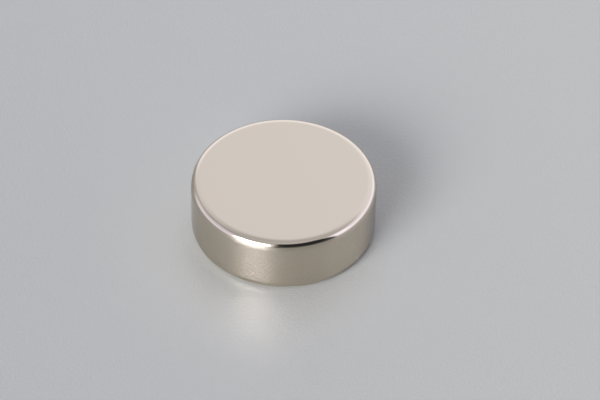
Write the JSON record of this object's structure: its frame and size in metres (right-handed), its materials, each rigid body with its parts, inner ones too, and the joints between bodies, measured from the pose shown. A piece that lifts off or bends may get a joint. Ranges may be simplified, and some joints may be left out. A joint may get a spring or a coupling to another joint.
{
  "type": "disc magnet",
  "caption": "Nickel-plated disc magnet: a short round cylinder with flat pole faces and softly tumbled edges.",
  "frame": {"origin": "centre of the lower pole face, on the surface that the disc lies on", "axes": "+Z along the disc's axis, which is also the axis it is magnetised along, towards the upper pole face; X and Y lie in the lower pole face, and the disc is the same all round"},
  "size_m": [0.019, 0.019, 0.0063],
  "materials": {
    "nickel_plating": "bright nickel plating, lightly satin from tumbling"
  },
  "bodies": {
    "root": {"disc_magnet": "nickel_plating"}
  },
  "joints": []
}
